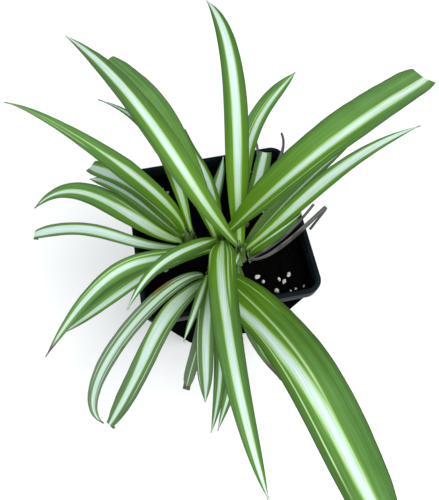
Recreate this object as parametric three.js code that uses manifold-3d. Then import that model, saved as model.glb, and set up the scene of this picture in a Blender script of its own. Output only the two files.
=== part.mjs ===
// A variegated spider plant in a square nursery pot.
// Millimetres, +Z up. The origin is the middle of the pot's underside.
// The pot's sides run along X and Y.
// Five crowns stand in plain holes in the soil, and each leaf springs from one of them.
import * as THREE from "three";
import { mergeVertices } from "three/addons/utils/BufferGeometryUtils.js";
import Module from "manifold-3d";

const wasm = await Module();
wasm.setup();

const CLEARANCE = 0.3; // between two pieces that touch on the real plant

// Pot: a deep 10 cm square nursery pot with a plain lip.
const POT = {
  height: 120,
  rimHalf: 50, // half of the outer side at the lip
  baseHalf: 34,
  wall: 1.4,
  floor: 1.8,
  lipDepth: 8,
  lipStep: 1.3, // how far the lip stands out from the wall below it
  lipDraft: 0.3, // how far the lip's lower edge lies inside its upper one
  lipEdge: 0.7, // small bevel along the lip's top
  rimCorner: 7,
  baseCorner: 6,
};
const DRAIN = { radius: 4.5, offset: 20, sides: 12 };

// Soil: fills the pot to a little below the lip's top.
const SOIL = { top: POT.height - 10.5, edgeDrop: 1.5, rings: 9, relief: 0.9 };
// Grains raised from the soil's surface, none of them near the rim or a crown.
const PERLITE = { count: 30, smallest: 0.8, largest: 1.7, sunk: 0.1, fromRim: 2, fromCrown: 3, seed: 11 };
// The grains in plain sight on the open soil: [x, y, radius]
const SEEN_PERLITE = [
  [17, -31, 1.7],
  [20, -35, 1.2],
  [35, -34, 1.6],
  [27, -36, 1.3],
  [31, -38, 1.3],
  [26, -41, 1.5],
];

// Crowns: the axis, and the tip's height above the lip. All share one tapering profile.
const CROWN = {
  foot: POT.height - 28,
  footRadius: 3,
  soilRadius: 5,
  taper: 0.1, // radius lost for each millimetre above the soil
  shoulder: 4, // the tip's rounding starts this far below the top
  tipDepth: 1,
  tipShare: 0.5,
  sides: 14,
};
const crown = (x, y, aboveLip) => ({ x, y, top: POT.height + aboveLip });
const CROWNS = {
  centre: crown(0, -10, 14),
  right: crown(10, -18, 14),
  left: crown(-18, -4, 14),
  front: crown(-10, -27, 8),
  back: crown(16, 5, 7),
};

// Leaves: strap-shaped, channelled along the midrib and tapering to a point.
const BLADE = {
  thickness: 0.8,
  station: 9, // length of one step along a blade
  neck: 0.45, // width at the root, as a share of the full width
  grow: 0.35, // share of the length over which the blade reaches its full width
  taper: 2.2, // how late the blade narrows towards its tip
  tipHalf: 0.4, // half width at the tip
  seat: 0.6, // from the crown to the midrib at the root
  bendRadius: 3, // of the crease where a leaf's end hangs down
  bendSteps: 4,
  hangSteps: 2,
};
// Depth of the channel, as a share of the half width: [place along the blade, depth]
const CHANNEL = [
  [0, 0.15],
  [0.1, 0.35],
  [0.3, 0.28],
  [0.9, 0.17],
  [1, 0.06],
];

// Each row: name, crown, where the root sits on it (degrees from +X, and height), three points that
// the midrib passes at a third, two thirds and the whole of its length, width, and what is special to
// that leaf: hang (length of an end that is creased downwards), crease (the angle that it hangs at in
// degrees), neck, grow, taper, tipHalf. All heights are measured up from the top of the pot's lip.
const leaf = (name, crown, rootAngle, rootHeight, third, twoThirds, end, width, special = {}) => ({
  name,
  crown,
  rootAngle,
  rootHeight: POT.height + rootHeight,
  through: [third, twoThirds, end].map(([x, y, z]) => [x, y, POT.height + z]),
  width,
  neck: BLADE.neck,
  grow: BLADE.grow,
  taper: BLADE.taper,
  tipHalf: BLADE.tipHalf,
  hang: 0,
  crease: -100,
  ...special,
});

const LEAVES = [
  leaf("leaf_top", "right", 90, 1.5, [15, 21, 40], [18, 53, 70], [16, 114, 60], 12.6, { taper: 1.9 }),
  leaf("leaf_top_right", "back", 95, 1, [23, 33, 24], [37, 52, 34], [63, 79, 30], 10.5, { taper: 3.5 }),
  leaf("leaf_back_left", "centre", 97, -5, [-1, 11, 3], [4, 23, 8], [11, 41, 10], 8),
  leaf("leaf_back_right", "back", 50, -4, [25, 15, 3], [30, 24, 10], [36, 38, 10], 9.5, {
    taper: 4,
    hang: 8,
  }),
  leaf("leaf_upper_right", "centre", 20, 7, [35, -7, 54], [66, 4, 70], [117, 36, 56], 18.4, {
    neck: 0.3,
    taper: 9,
    hang: 12,
    crease: -125,
  }),
  leaf("leaf_right", "right", 5, 2.5, [41, -10, 26], [73, 5, 36], [127, 31, 22], 9.2, { taper: 1.8 }),
  leaf("leaf_right_shaded", "right", 48, -3.5, [37, -1, 16], [60, 13, 22], [86, 30, 18], 9),
  leaf("leaf_right_low", "right", 348, -4.5, [22, -18, 3], [34, -14, 8], [47, -6, 10], 6),
  leaf("leaf_lower_right", "front", 322, 4.6, [12, -82, 50], [21.5, -118, 62], [41.5, -173, 22], 21, {
    neck: 0.37,
    grow: 0.3,
    taper: 6,
  }),
  leaf("leaf_young", "right", 240, 4.5, [6.5, -25, 7], [5, -28, 9], [3.5, -31, 10], 4),
  leaf("leaf_right_under", "right", 245, -9, [4, -60, 10], [8, -81, 12], [14, -93, 6], 8, { neck: 0.3 }),
  leaf("leaf_front", "centre", 275, 7, [-8, -64, 48], [-10, -107, 68], [-6, -140, 44], 13.8, {
    neck: 0.46,
    grow: 0.14,
  }),
  leaf("leaf_short_left", "centre", 206, 8, [-21, -29, 36], [-36, -41, 46], [-51, -55, 40], 7.8),
  leaf("leaf_lower_left_upper", "centre", 185, 2, [-35, -26, 26], [-60, -35, 32], [-104, -56, -6], 9.4),
  leaf("leaf_lower_left_under", "centre", 205, -3, [-38, -25, 14], [-63, -39, 18], [-95, -45, -6], 10),
  leaf("leaf_left_low", "left", 200, -7, [-50, -3, 6], [-72, 7, 9], [-106, 17, -2], 8, {
    neck: 0.35,
    grow: 0.55,
    taper: 8,
    hang: 3,
  }),
  leaf("leaf_left_broad", "left", 175, -2.5, [-47, 11, 7], [-73, 30, 13], [-106, 34, 0], 13.2, {
    neck: 0.25,
    grow: 0.45,
  }),
  leaf("leaf_left_middle", "left", 150, 0, [-38, 13.5, 12.5], [-52, 26, 18], [-69, 39, 13], 9, { taper: 4 }),
  leaf("leaf_left_upper", "left", 135, 3.5, [-37, 17, 20], [-51, 30, 23], [-66, 44, 17], 11.5, {
    taper: 7,
    hang: 5,
  }),
  leaf("leaf_long_left", "left", 122, 7, [-37, 18, 28], [-72, 51, 42], [-108, 83, 38], 12, {
    neck: 0.5,
    taper: 1,
  }),
  leaf("leaf_left_tall", "left", 66, 10.5, [-19.5, 20.5, 26], [-29.5, 49.5, 33], [-56, 80, 32], 8, {
    neck: 0.34,
    taper: 1.5,
  }),
  leaf("leaf_upper_left", "right", 152, 9, [-13, -2, 54], [-33, 39, 70], [-69, 120, 46], 12.6, {
    taper: 1.9,
  }),
  leaf("leaf_upper_left_under", "centre", 120, 3, [-15, 29, 42], [-26, 54, 54], [-46, 98, 43], 13.2, {
    taper: 5,
    hang: 12,
  }),
  leaf("leaf_upper_left_inner", "centre", 95, -1.5, [-3, 17, 19], [-8, 30, 27], [-12, 49, 28], 9.5, {
    taper: 4,
    hang: 10,
  }),
  leaf("leaf_loop_left", "front", 195, 0, [-45.5, -46, 10.5], [-77.5, -71, -10], [-83.5, -91, -37], 8.8, {
    taper: 4,
  }),
  leaf("leaf_loop_right", "front", 225, -4, [-36, -51, 6], [-52, -69.5, -2], [-78.5, -92.5, -32], 11, {
    taper: 6,
    tipHalf: 2.5,
    hang: 3,
  }),
  leaf("leaf_front_thin", "front", 240, 2.5, [-20, -49, 11], [-25, -58, 11], [-30, -65, 5], 4.5),
  leaf("leaf_front_low_left", "front", 245, -6, [-20, -60, 4], [-27, -73, -7], [-34, -84, -22], 6.4, {
    taper: 12,
    tipHalf: 2,
  }),
  leaf("leaf_front_low_middle", "front", 262, -1.5, [-18, -62, 8], [-21.5, -78, -3], [-25, -92, -26], 9.2, {
    taper: 3.5,
  }),
  leaf("leaf_front_low_right", "front", 282, -5, [-11, -64, 1], [-16, -87, -16], [-25, -107, -40], 7, {
    neck: 0.35,
    taper: 3,
  }),
  leaf("leaf_front_low_far", "centre", 262, -3, [-5.5, -69, 4], [-11, -91, -7], [-21, -107, -34], 7, {
    taper: 3,
  }),
];
// Withered leaves, thin and brown, built as the living ones are.
const WITHERED = [
  leaf("withered_leaf_right", "right", 325, -6, [28, -17.5, -1.5], [43, -10, 3.5], [57, 1, 5], 3.2),
  leaf("withered_leaf_fold", "right", 332, -7.5, [29, -19.5, -6.5], [47, -12, 1], [62, -3, 5], 3.5, {
    hang: 13,
    crease: -150,
  }),
  leaf("withered_leaf_back", "back", 25, -5.5, [32, 21, -2], [46, 38, 2], [49, 50, 12], 3.2, { taper: 4 }),
  leaf("withered_leaf_curl", "back", 75, -6, [22, 22, -4], [31, 37, 1], [33, 53, 7], 2),
];

// Half of the outer side of the pot's wall at a height.
const potHalf = (z) =>
  THREE.MathUtils.lerp(POT.baseHalf, POT.rimHalf - POT.lipStep, z / POT.height);
const potCorner = (z) => THREE.MathUtils.lerp(POT.baseCorner, POT.rimCorner, z / POT.height);

const crownRadius = (z) => CROWN.soilRadius - CROWN.taper * (z - SOIL.top);

// The same pseudo-random numbers on every run.
function seededRandom(seed) {
  let state = seed;
  return () => {
    state = (state * 1664525 + 1013904223) % 4294967296;
    return state / 4294967296;
  };
}

function mesh(name, geometry, material) {
  const made = new THREE.Mesh(geometry, material);
  made.name = name;
  return made;
}

function geometryOf(positions, faces) {
  const geometry = new THREE.BufferGeometry();
  geometry.setAttribute("position", new THREE.Float32BufferAttribute(positions, 3));
  geometry.setIndex(faces);
  return geometry;
}

// A copy with only its positions left, so that its seams close.
function bareGeometry(geometry) {
  const bare = geometry.clone();
  bare.deleteAttribute("normal");
  bare.deleteAttribute("uv");
  return mergeVertices(bare, 1e-3);
}

function solidOf(geometry) {
  const merged = bareGeometry(geometry);
  return new wasm.Manifold(
    new wasm.Mesh({
      numProp: 3,
      vertProperties: merged.attributes.position.array,
      triVerts: new Uint32Array(merged.index.array),
    }),
  );
}

function geometryFromSolid(solid) {
  const { vertProperties, triVerts, numProp, numVert } = solid.getMesh();
  const positions = [];
  for (let i = 0; i < numVert; i += 1) {
    positions.push(...vertProperties.subarray(i * numProp, i * numProp + 3));
  }
  return geometryOf(positions, Array.from(triVerts));
}

// A square with rounded corners, anticlockwise seen from above.
function roundedSquare(half, corner, z, perCorner = 5) {
  const ring = [];
  const inner = half - corner;
  for (let quarter = 0; quarter < 4; quarter += 1) {
    const centre = (quarter + 0.5) * (Math.PI / 2);
    const cx = Math.sign(Math.cos(centre)) * inner;
    const cy = Math.sign(Math.sin(centre)) * inner;
    for (let i = 0; i < perCorner; i += 1) {
      const angle = (quarter + i / (perCorner - 1)) * (Math.PI / 2);
      ring.push([cx + corner * Math.cos(angle), cy + corner * Math.sin(angle), z]);
    }
  }
  return ring;
}

// Closed skin through rings of equal length, with a point in the middle of the first and the last.
function loft(rings, firstMiddle, lastMiddle) {
  const count = rings[0].length;
  const positions = rings.flat(2);
  const faces = [];
  for (let r = 0; r < rings.length - 1; r += 1) {
    for (let i = 0; i < count; i += 1) {
      const a = r * count + i;
      const b = r * count + ((i + 1) % count);
      faces.push(a, b, b + count, a, b + count, a + count);
    }
  }
  const first = rings.length * count;
  positions.push(...firstMiddle, ...lastMiddle);
  const lastRing = (rings.length - 1) * count;
  for (let i = 0; i < count; i += 1) {
    const next = (i + 1) % count;
    faces.push(first, next, i);
    faces.push(first + 1, lastRing + i, lastRing + next);
  }
  return geometryOf(positions, faces);
}

function potGeometry() {
  const lipFoot = POT.height - POT.lipDepth;
  const ring = (half, z) => roundedSquare(half, Math.max(2, potCorner(z) - (potHalf(z) - half)), z);
  const skin = [
    ring(potHalf(0), 0),
    ring(potHalf(lipFoot), lipFoot),
    ring(POT.rimHalf - POT.lipDraft, lipFoot),
    ring(POT.rimHalf, POT.height - POT.lipEdge),
    ring(POT.rimHalf - POT.lipEdge, POT.height),
    ring(potHalf(POT.height) - POT.wall + POT.lipEdge, POT.height),
    ring(potHalf(POT.height) - POT.wall, POT.height - POT.lipEdge),
    ring(potHalf(POT.floor) - POT.wall, POT.floor),
  ];
  let pot = solidOf(loft(skin, [0, 0, 0], [0, 0, POT.floor]));
  for (const x of [-DRAIN.offset, DRAIN.offset]) {
    for (const y of [-DRAIN.offset, DRAIN.offset]) {
      const hole = new THREE.CylinderGeometry(DRAIN.radius, DRAIN.radius, 4 * POT.floor, DRAIN.sides);
      hole.rotateX(Math.PI / 2).translate(x, y, POT.floor / 2);
      pot = pot.subtract(solidOf(hole));
    }
  }
  return geometryFromSolid(pot);
}

// Turned body that stands up from the soil: a crown, or the hole that it stands in.
function crownBody({ x, y, top }, grow) {
  const profile = [
    [0, CROWN.foot - grow],
    [CROWN.footRadius + grow, CROWN.foot - grow],
    [CROWN.soilRadius + grow, SOIL.top],
    [crownRadius(top - CROWN.shoulder) + grow, top - CROWN.shoulder],
    [crownRadius(top) * CROWN.tipShare + grow, top - CROWN.tipDepth],
    [0, top + grow],
  ].map(([r, z]) => new THREE.Vector2(r, z));
  const body = new THREE.LatheGeometry(profile, CROWN.sides).rotateX(Math.PI / 2).translate(x, y, 0);
  return bareGeometry(body);
}

const soilHeight = (x, y) =>
  SOIL.relief * (Math.sin(0.31 * x + 1.3) * Math.cos(0.27 * y) + 0.5 * Math.sin(0.71 * x - 0.53 * y));

// The grains in plain sight, and others drawn at random around them.
function perliteGrains(gap) {
  const random = seededRandom(PERLITE.seed);
  const reach = potHalf(SOIL.top) * (1 - 1 / SOIL.rings) - gap - PERLITE.fromRim;
  const grains = [...SEEN_PERLITE];
  const apart = (x, y, other, distance) => Math.hypot(x - other[0], y - other[1]) > distance;
  for (let i = 0; i < PERLITE.count; i += 1) {
    const radius = THREE.MathUtils.lerp(PERLITE.smallest, PERLITE.largest, random());
    const x = (2 * random() - 1) * reach;
    const y = (2 * random() - 1) * reach;
    const crownReach = CROWN.soilRadius + PERLITE.fromCrown * radius;
    const clearOfCrowns = Object.values(CROWNS).every((c) => apart(x, y, [c.x, c.y], crownReach));
    const clearOfGrains = grains.every((grain) => apart(x, y, grain, radius + grain[2]));
    if (clearOfCrowns && clearOfGrains) grains.push([x, y, radius]);
  }
  return grains;
}

function soilGeometry() {
  const gap = POT.wall + CLEARANCE;
  const low = POT.floor + CLEARANCE;
  const edgeTop = SOIL.top - SOIL.edgeDrop;
  const side = (z) => roundedSquare(potHalf(z) - gap, potCorner(z) - gap, z);
  const rings = [side(low), side(edgeTop)];
  const rim = rings[1];
  for (let r = 1; r < SOIL.rings; r += 1) {
    const share = 1 - r / SOIL.rings;
    rings.push(
      rim.map(([x, y]) => [x * share, y * share, SOIL.top + soilHeight(x * share, y * share)]),
    );
  }
  let soil = solidOf(loft(rings, [0, 0, low], [0, 0, SOIL.top + soilHeight(0, 0)]));
  for (const [x, y, radius] of perliteGrains(gap)) {
    const height = SOIL.top + soilHeight(x, y) - PERLITE.sunk * radius;
    const grain = new THREE.IcosahedronGeometry(radius, 0).rotateZ(x).translate(x, y, height);
    soil = soil.add(solidOf(grain));
  }
  for (const crown of Object.values(CROWNS)) {
    const hole = { ...crown, top: crown.top + CROWN.foot };
    soil = soil.subtract(solidOf(crownBody(hole, CLEARANCE)));
  }
  return geometryFromSolid(soil);
}

// The smooth curve that leaves p0 and passes the other three at even steps.
function curveThrough(p0, p1, p2, p3) {
  const mix = (a, b, c, d) =>
    new THREE.Vector3()
      .addScaledVector(p0, a)
      .addScaledVector(p1, b)
      .addScaledVector(p2, c)
      .addScaledVector(p3, d)
      .divideScalar(6);
  return new THREE.CubicBezierCurve3(p0, mix(-5, 18, -9, 2), mix(2, -9, 18, -5), p3);
}

// Midrib points with their directions, from the root to the tip.
// An end that hangs is bent down at its crease.
function midrib({ crown, rootAngle, rootHeight, through, hang, crease }) {
  const { x, y } = CROWNS[crown];
  const points = through.map((p) => new THREE.Vector3(...p));
  const outward = THREE.MathUtils.degToRad(rootAngle);
  const seat = crownRadius(rootHeight) + CLEARANCE + BLADE.seat;
  const root = new THREE.Vector3(x + seat * Math.cos(outward), y + seat * Math.sin(outward), rootHeight);
  const curve = curveThrough(root, ...points);
  const steps = Math.max(6, Math.round(curve.getLength() / BLADE.station));
  const stations = [];
  for (let i = 0; i <= steps; i += 1) {
    const direction = curve.getTangentAt(i / steps);
    const heading = new THREE.Vector3(direction.x, direction.y, 0).normalize();
    stations.push({ at: curve.getPointAt(i / steps), direction, heading });
  }
  if (hang > 0) {
    const { heading, direction } = stations.at(-1);
    const start = Math.asin(direction.z);
    const turn = THREE.MathUtils.degToRad(crease) - start;
    const inDirection = (angle) =>
      heading.clone().multiplyScalar(Math.cos(angle)).setZ(Math.sin(angle));
    const bends = BLADE.bendSteps;
    let at = stations.at(-1).at.clone();
    for (let i = 0; i < bends; i += 1) {
      const middle = inDirection(start + (turn * (i + 0.5)) / bends);
      at = at.clone().addScaledVector(middle, (BLADE.bendRadius * Math.abs(turn)) / bends);
      stations.push({ at, direction: inDirection(start + (turn * (i + 1)) / bends), heading });
    }
    for (let i = 0; i < BLADE.hangSteps; i += 1) {
      const down = stations.at(-1).direction;
      at = at.clone().addScaledVector(down, hang / BLADE.hangSteps);
      stations.push({ at, direction: down, heading });
    }
  }
  return stations;
}

function interpolate(table, x) {
  for (let i = 1; i < table.length; i += 1) {
    const [x0, y0] = table[i - 1];
    const [x1, y1] = table[i];
    if (x <= x1) return THREE.MathUtils.mapLinear(x, x0, x1, y0, y1);
  }
  return table.at(-1)[1];
}

// Half of the blade's width at a share of its length.
function halfWidth({ width, neck, grow, taper, tipHalf }, share) {
  const grown = neck + (1 - neck) * Math.sin((Math.PI / 2) * Math.min(1, share / grow));
  const narrowed = 1 - Math.max(0, (share - grow) / (1 - grow)) ** taper;
  return Math.max(tipHalf, (width / 2) * grown * narrowed);
}

// A blade of even thickness over a shallow V section, split into triangles alike on both faces.
function leafGeometry(row) {
  const stations = midrib(row);
  let travelled = 0;
  const along = stations.map(({ at }, i) => {
    if (i > 0) travelled += at.distanceTo(stations[i - 1].at);
    return travelled;
  });
  const positions = [];
  stations.forEach(({ at, direction, heading }, i) => {
    const share = along[i] / travelled;
    const half = halfWidth(row, share);
    const lift = half * interpolate(CHANNEL, share);
    const across = new THREE.Vector3(heading.y, -heading.x, 0);
    const up = across.clone().cross(direction).normalize();
    for (const face of [0.5, -0.5]) {
      for (const side of [-1, 0, 1]) {
        const corner = at
          .clone()
          .addScaledVector(across, side * half)
          .addScaledVector(up, Math.abs(side) * lift + face * BLADE.thickness);
        positions.push(corner.x, corner.y, corner.z);
      }
    }
  });
  const faces = [];
  const quad = (a, b, c, d) => faces.push(a, b, c, a, c, d);
  const last = (stations.length - 1) * 6;
  for (let s = 0; s < last; s += 6) {
    const n = s + 6;
    quad(s, s + 1, n + 1, n); // upper face, left half
    quad(s + 1, s + 2, n + 2, n + 1);
    faces.push(s + 3, n + 4, s + 4, s + 3, n + 3, n + 4); // lower face, split the same way
    faces.push(s + 4, n + 5, s + 5, s + 4, n + 4, n + 5);
    quad(s, n, n + 3, s + 3); // left edge
    quad(s + 2, s + 5, n + 5, n + 2); // right edge
  }
  quad(0, 3, 4, 1);
  quad(1, 4, 5, 2);
  quad(last, last + 1, last + 4, last + 3);
  quad(last + 1, last + 2, last + 5, last + 4);
  return geometryOf(positions, faces);
}

const finish = {
  pot: new THREE.MeshStandardMaterial({ color: 0x1b1d22, roughness: 0.35, metalness: 0 }),
  soil: new THREE.MeshStandardMaterial({ color: 0x1a1410, roughness: 0.95, metalness: 0 }),
  crown: new THREE.MeshStandardMaterial({ color: 0xc9d6a0, roughness: 0.6, metalness: 0 }),
  leaf: new THREE.MeshStandardMaterial({ color: 0x4f8f35, roughness: 0.5, metalness: 0 }),
  withered: new THREE.MeshStandardMaterial({ color: 0x6b5a4c, roughness: 0.8, metalness: 0 }),
};

const plant = new THREE.Group();
plant.add(mesh("pot", potGeometry(), finish.pot));
plant.add(mesh("soil", soilGeometry(), finish.soil));
for (const [name, crown] of Object.entries(CROWNS)) {
  plant.add(mesh(`crown_${name}`, crownBody(crown, 0), finish.crown));
}
for (const row of LEAVES) plant.add(mesh(row.name, leafGeometry(row), finish.leaf));
for (const row of WITHERED) plant.add(mesh(row.name, leafGeometry(row), finish.withered));

export default plant;
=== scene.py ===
"""Looks of the potted spider plant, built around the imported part. Lengths in the tables are millimetres."""

import math
from types import SimpleNamespace as Sizes

import bmesh
import bpy
import numpy as np
from mathutils import Matrix, Vector


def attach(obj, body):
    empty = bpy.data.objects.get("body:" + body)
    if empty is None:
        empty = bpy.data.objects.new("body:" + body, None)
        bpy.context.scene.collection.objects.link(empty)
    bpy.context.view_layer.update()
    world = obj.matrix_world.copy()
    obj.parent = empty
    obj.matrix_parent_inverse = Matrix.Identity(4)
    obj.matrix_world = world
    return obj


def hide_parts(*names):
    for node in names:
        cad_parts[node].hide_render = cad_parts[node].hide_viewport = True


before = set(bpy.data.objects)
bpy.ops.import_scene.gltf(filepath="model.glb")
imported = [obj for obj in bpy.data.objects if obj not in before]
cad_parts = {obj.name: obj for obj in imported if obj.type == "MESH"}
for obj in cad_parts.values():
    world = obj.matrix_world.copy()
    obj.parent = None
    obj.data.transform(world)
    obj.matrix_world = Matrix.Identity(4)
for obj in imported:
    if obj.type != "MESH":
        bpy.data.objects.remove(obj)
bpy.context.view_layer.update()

MM = 0.001

# ---- sizes shared with the solids

POT = Sizes(height=120, rim_half=50, base_half=34, wall=1.4, floor=1.8, lip_depth=8, lip_step=1.3,
            lip_draft=0.3, lip_edge=0.7, rim_corner=7, base_corner=6)
DRAIN = Sizes(radius=4.5, offset=20)
SOIL = Sizes(top=POT.height - 10.5, edge_drop=1.5, relief=0.9)
CLEARANCE = 0.3  # between pieces that lie against each other
CROWN = Sizes(foot=POT.height - 28, foot_radius=3, soil_radius=5, taper=0.1)
# each crown's axis, and its top's height above the lip
CROWNS = {
    "centre": (0, -10, 14),
    "right": (10, -18, 14),
    "left": (-18, -4, 14),
    "front": (-10, -27, 8),
    "back": (16, 5, 7),
}
# neck: the root's width as a share of the full one. grow: where the blade is widest. taper: how late it
# narrows. seat: from the crown's clearance out to the root.
BLADE = Sizes(thickness=0.8, neck=0.45, grow=0.35, taper=2.2, tip_half=0.4, seat=0.6, bend_radius=3)
# shares of the length, and the channel's depth there as a share of the half width
CHANNEL = ((0, 0.1, 0.3, 0.9, 1), (0.15, 0.35, 0.28, 0.17, 0.06))

# name: crown, root angle, root height, three points of the midrib, width, and what is special to the leaf.
# Heights are measured up from the top of the pot's lip.
LEAVES = {
    "leaf_top": ("right", 90, 1.5, (15, 21, 40), (18, 53, 70), (16, 114, 60), 12.6, dict(taper=1.9)),
    "leaf_top_right": ("back", 95, 1, (23, 33, 24), (37, 52, 34), (63, 79, 30), 10.5, dict(taper=3.5)),
    "leaf_back_left": ("centre", 97, -5, (-1, 11, 3), (4, 23, 8), (11, 41, 10), 8, {}),
    "leaf_back_right": ("back", 50, -4, (25, 15, 3), (30, 24, 10), (36, 38, 10), 9.5, dict(taper=4, hang=8)),
    "leaf_upper_right": ("centre", 20, 7, (35, -7, 54), (66, 4, 70), (117, 36, 56), 18.4,
        dict(neck=0.3, taper=9, hang=12, crease=-125)),
    "leaf_right": ("right", 5, 2.5, (41, -10, 26), (73, 5, 36), (127, 31, 22), 9.2, dict(taper=1.8)),
    "leaf_right_shaded": ("right", 48, -3.5, (37, -1, 16), (60, 13, 22), (86, 30, 18), 9, {}),
    "leaf_right_low": ("right", 348, -4.5, (22, -18, 3), (34, -14, 8), (47, -6, 10), 6, {}),
    "leaf_lower_right": ("front", 322, 4.6, (12, -82, 50), (21.5, -118, 62), (41.5, -173, 22), 21,
        dict(neck=0.37, grow=0.3, taper=6)),
    "leaf_young": ("right", 240, 4.5, (6.5, -25, 7), (5, -28, 9), (3.5, -31, 10), 4, {}),
    "leaf_right_under": ("right", 245, -9, (4, -60, 10), (8, -81, 12), (14, -93, 6), 8, dict(neck=0.3)),
    "leaf_front": ("centre", 275, 7, (-8, -64, 48), (-10, -107, 68), (-6, -140, 44), 13.8,
        dict(neck=0.46, grow=0.14)),
    "leaf_short_left": ("centre", 206, 8, (-21, -29, 36), (-36, -41, 46), (-51, -55, 40), 7.8, {}),
    "leaf_lower_left_upper": ("centre", 185, 2, (-35, -26, 26), (-60, -35, 32), (-104, -56, -6), 9.4, {}),
    "leaf_lower_left_under": ("centre", 205, -3, (-38, -25, 14), (-63, -39, 18), (-95, -45, -6), 10, {}),
    "leaf_left_low": ("left", 200, -7, (-50, -3, 6), (-72, 7, 9), (-106, 17, -2), 8,
        dict(neck=0.35, grow=0.55, taper=8, hang=3)),
    "leaf_left_broad": ("left", 175, -2.5, (-47, 11, 7), (-73, 30, 13), (-106, 34, 0), 13.2,
        dict(neck=0.25, grow=0.45)),
    "leaf_left_middle": ("left", 150, 0, (-38, 13.5, 12.5), (-52, 26, 18), (-69, 39, 13), 9, dict(taper=4)),
    "leaf_left_upper": ("left", 135, 3.5, (-37, 17, 20), (-51, 30, 23), (-66, 44, 17), 11.5,
        dict(taper=7, hang=5)),
    "leaf_long_left": ("left", 122, 7, (-37, 18, 28), (-72, 51, 42), (-108, 83, 38), 12,
        dict(neck=0.5, taper=1)),
    "leaf_left_tall": ("left", 66, 10.5, (-19.5, 20.5, 26), (-29.5, 49.5, 33), (-56, 80, 32), 8,
        dict(neck=0.34, taper=1.5)),
    "leaf_upper_left": ("right", 152, 9, (-13, -2, 54), (-33, 39, 70), (-69, 120, 46), 12.6, dict(taper=1.9)),
    "leaf_upper_left_under": ("centre", 120, 3, (-15, 29, 42), (-26, 54, 54), (-46, 98, 43), 13.2,
        dict(taper=5, hang=12)),
    "leaf_upper_left_inner": ("centre", 95, -1.5, (-3, 17, 19), (-8, 30, 27), (-12, 49, 28), 9.5,
        dict(taper=4, hang=10)),
    "leaf_loop_left": ("front", 195, 0, (-45.5, -46, 10.5), (-77.5, -71, -10), (-83.5, -91, -37), 8.8,
        dict(taper=4)),
    "leaf_loop_right": ("front", 225, -4, (-36, -51, 6), (-52, -69.5, -2), (-78.5, -92.5, -32), 11,
        dict(taper=6, tip_half=2.5, hang=3)),
    "leaf_front_thin": ("front", 240, 2.5, (-20, -49, 11), (-25, -58, 11), (-30, -65, 5), 4.5, {}),
    "leaf_front_low_left": ("front", 245, -6, (-20, -60, 4), (-27, -73, -7), (-34, -84, -22), 6.4,
        dict(taper=12, tip_half=2)),
    "leaf_front_low_middle": ("front", 262, -1.5, (-18, -62, 8), (-21.5, -78, -3), (-25, -92, -26), 9.2,
        dict(taper=3.5)),
    "leaf_front_low_right": ("front", 282, -5, (-11, -64, 1), (-16, -87, -16), (-25, -107, -40), 7,
        dict(neck=0.35, taper=3)),
    "leaf_front_low_far": ("centre", 262, -3, (-5.5, -69, 4), (-11, -91, -7), (-21, -107, -34), 7,
        dict(taper=3)),
}
WITHERED = {
    "withered_leaf_right": ("right", 325, -6, (28, -17.5, -1.5), (43, -10, 3.5), (57, 1, 5), 3.2, {}),
    "withered_leaf_fold": ("right", 332, -7.5, (29, -19.5, -6.5), (47, -12, 1), (62, -3, 5), 3.5,
        dict(hang=13, crease=-150)),
    "withered_leaf_back": ("back", 25, -5.5, (32, 21, -2), (46, 38, 2), (49, 50, 12), 3.2, dict(taper=4)),
    "withered_leaf_curl": ("back", 75, -6, (22, 22, -4), (31, 37, 1), (33, 53, 7), 2, {}),
}

# How each leaf is marked. Across runs from -1 on the left of the way the leaf grows to 1 on its right, and
# along from 0 at the root to 1 at the tip.
# stripe: (along, middle of the white stripe, its half width). lines: thin pale lines, each (across, half
# width, from, to). light, grey: shifts of the green. tip: share of the length that is dried.
# scars: brown spots, each (along, across, length, breadth). wave: how far the margins ripple.
PLAIN = dict(stripe=((0, 0, 0.36), (1, 0, 0.4)), lines=(), light=0.3, grey=0.1, tip=0, scars=(), wave=1)


def marks(*stripe, **others):
    return {**PLAIN, "stripe": stripe, **others}


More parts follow.
